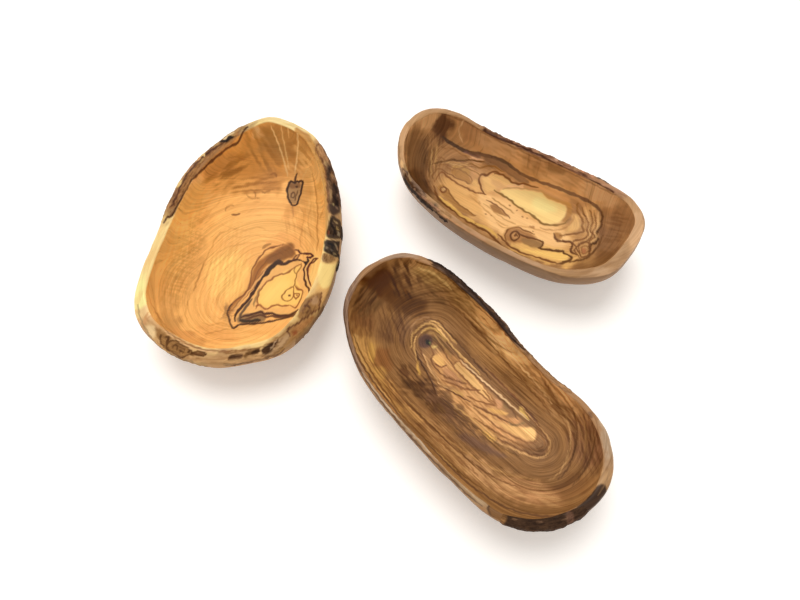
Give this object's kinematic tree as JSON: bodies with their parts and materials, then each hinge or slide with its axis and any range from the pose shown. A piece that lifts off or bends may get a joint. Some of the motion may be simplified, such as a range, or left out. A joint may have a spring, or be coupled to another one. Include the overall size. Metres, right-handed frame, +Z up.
{
  "type": "olive wood serving dish set",
  "caption": "Rustic carved olive wood serving dishes with natural bark edges: a round, an oval and a kidney-shaped hollow dish that stand on flat bases.",
  "frame": {"origin": "on the table, under the middle of the box of the whole set", "axes": "+Z up, +X along the set's longest side to the right of the picture, +Y away from the camera"},
  "size_m": [0.2666, 0.2398, 0.0386],
  "materials": {
    "honey_olive_wood": "satin oiled",
    "figured_olive_wood": "satin oiled",
    "brown_olive_wood": "satin oiled",
    "brown_bark": "rough bark",
    "dark_bark": "rough bark",
    "inner_bark": "rough inner bark"
  },
  "bodies": {
    "kidney_dish": {"kidney_dish_wood": "brown_olive_wood", "kidney_bark_back": "dark_bark", "kidney_bark_front": "dark_bark"},
    "round_dish": {"round_dish_wood": "honey_olive_wood", "round_bark_back": "brown_bark", "round_bark_right": "brown_bark", "round_bark_chip": "dark_bark", "round_bark_corner": "dark_bark", "round_bark_side": "inner_bark", "round_bark_front": "brown_bark", "round_bark_left": "inner_bark"},
    "oval_dish": {"oval_dish_wood": "figured_olive_wood", "oval_bark_back": "brown_bark", "oval_bark_front": "dark_bark"}
  },
  "joints": [
    {"name": "round_dish_lift", "type": "slide", "parent": "kidney_dish", "child": "round_dish", "axis": [0, 0, 1], "range_m": [0, 0.06]},
    {"name": "oval_dish_lift", "type": "slide", "parent": "kidney_dish", "child": "oval_dish", "axis": [0, 0, 1], "range_m": [0, 0.06]}
  ]
}
